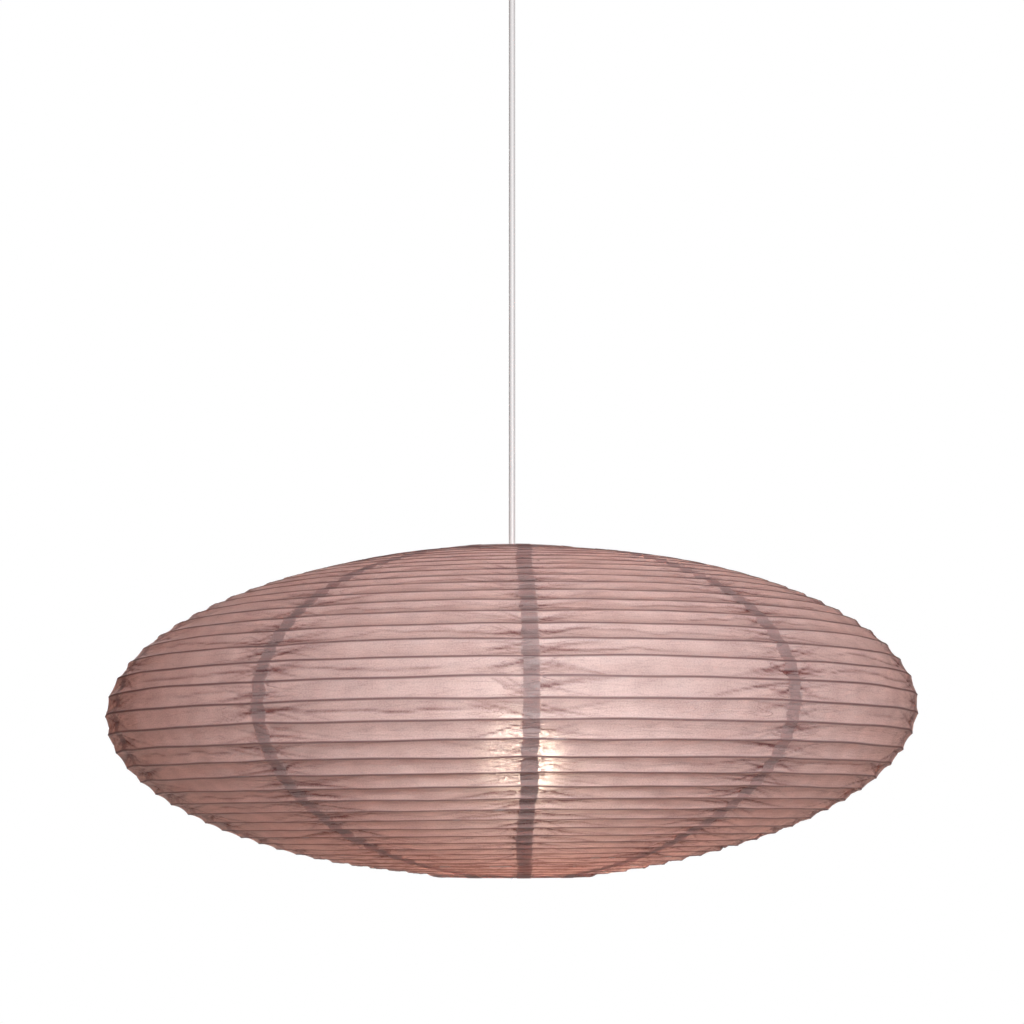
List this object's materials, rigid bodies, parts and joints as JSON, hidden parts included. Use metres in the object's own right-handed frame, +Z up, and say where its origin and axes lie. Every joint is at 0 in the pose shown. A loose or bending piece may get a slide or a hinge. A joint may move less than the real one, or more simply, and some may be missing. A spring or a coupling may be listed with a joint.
{
  "type": "pendant paper lantern",
  "caption": "Large squashed round paper lantern on a spiral of wire, lit from inside, hung on a white lead from a ceiling rose.",
  "frame": {"origin": "on the ceiling, at the middle of the bracket's upper face, above the middle of the lamp", "axes": "+Z up, out of the bracket into the ceiling; +X along the bracket's two screw holes; -Y towards the viewer"},
  "size_m": [0.8, 0.8, 0.9753],
  "materials": {
    "rose_paper": "matte translucent mulberry paper",
    "spring_wire": "drawn",
    "ring_wire": "zinc plated",
    "zinc_steel": "zinc plated",
    "white_plastic": "moulded satin",
    "white_lead": "extruded PVC",
    "core_brown": "extruded PVC",
    "ceramic": "unglazed",
    "brass": "pressed",
    "nickel": "nickel plated",
    "opal_glass": "frosted, lit",
    "black_glass": "vitreous",
    "board": "solder mask"
  },
  "bodies": {
    "ceiling_rose": {"ceiling_bracket": "zinc_steel", "rose_cup": "white_plastic", "rose_side_screws": "zinc_steel", "rose_cord_grip": "white_plastic", "rose_grip_nut": "white_plastic", "rose_terminal_block": "white_plastic", "rose_terminal_screws": "brass", "rose_cores": "core_brown", "cord_tail": "white_lead"},
    "lead": {"cord": "white_lead"},
    "lampholder": {"holder_skirt": "white_plastic", "holder_cap": "white_plastic", "holder_cord_grip": "white_plastic", "holder_contact_block": "ceramic", "holder_screw_shell": "brass", "holder_centre_contact": "brass", "holder_terminal_screws": "brass", "holder_cores": "core_brown", "cord_end": "white_lead"},
    "shade": {"paper_gore_01": "rose_paper", "paper_gore_02": "rose_paper", "paper_gore_03": "rose_paper", "paper_gore_04": "rose_paper", "paper_gore_05": "rose_paper", "paper_gore_06": "rose_paper", "paper_gore_07": "rose_paper", "paper_gore_08": "rose_paper", "paper_gore_09": "rose_paper", "paper_gore_10": "rose_paper", "spiral_wire": "spring_wire", "top_ring": "ring_wire", "expander_upright_front": "zinc_steel", "expander_upright_back": "zinc_steel", "expander_cross_bar_front": "zinc_steel", "expander_cross_bar_back": "zinc_steel", "expander_holder_ring": "zinc_steel"},
    "lower_ring": {"bottom_ring": "ring_wire"},
    "collar": {"shade_ring": "white_plastic"},
    "bulb": {"bulb_glass": "opal_glass", "bulb_screw_cap": "nickel", "bulb_insulator": "black_glass", "bulb_tip_contact": "nickel", "bulb_light_board": "board", "bulb_driver": "board"}
  },
  "joints": [
    {"name": "swing", "type": "hinge", "parent": "ceiling_rose", "child": "lead", "pos_m": [0, 0, -0.067], "axis": [0, 1, 0], "range_deg": [-12, 12]},
    {"name": "rock", "type": "hinge", "parent": "lead", "child": "lampholder", "pos_m": [0, 0, -0.716], "axis": [1, 0, 0], "range_deg": [-8, 8]},
    {"name": "shade_turn", "type": "hinge", "parent": "lampholder", "child": "shade", "pos_m": [0, 0, -0.79], "axis": [0, 0, 1], "continuous": true},
    {"name": "fold_flat", "type": "slide", "parent": "shade", "child": "lower_ring", "axis": [0, 0, 1], "range_m": [0, 0.26], "deforming": ["paper_gore_01", "paper_gore_02", "paper_gore_03", "paper_gore_04", "paper_gore_05", "paper_gore_06", "paper_gore_07", "paper_gore_08", "paper_gore_09", "paper_gore_10", "spiral_wire"]},
    {"name": "shade_ring_turn", "type": "hinge", "parent": "lampholder", "child": "collar", "pos_m": [0, 0, -0.797], "axis": [0, 0, -1], "range_deg": [0, 720]},
    {"name": "bulb_turn", "type": "hinge", "parent": "lampholder", "child": "bulb", "pos_m": [0, 0, -0.8], "axis": [0, 0, -1], "range_deg": [0, 900]}
  ]
}
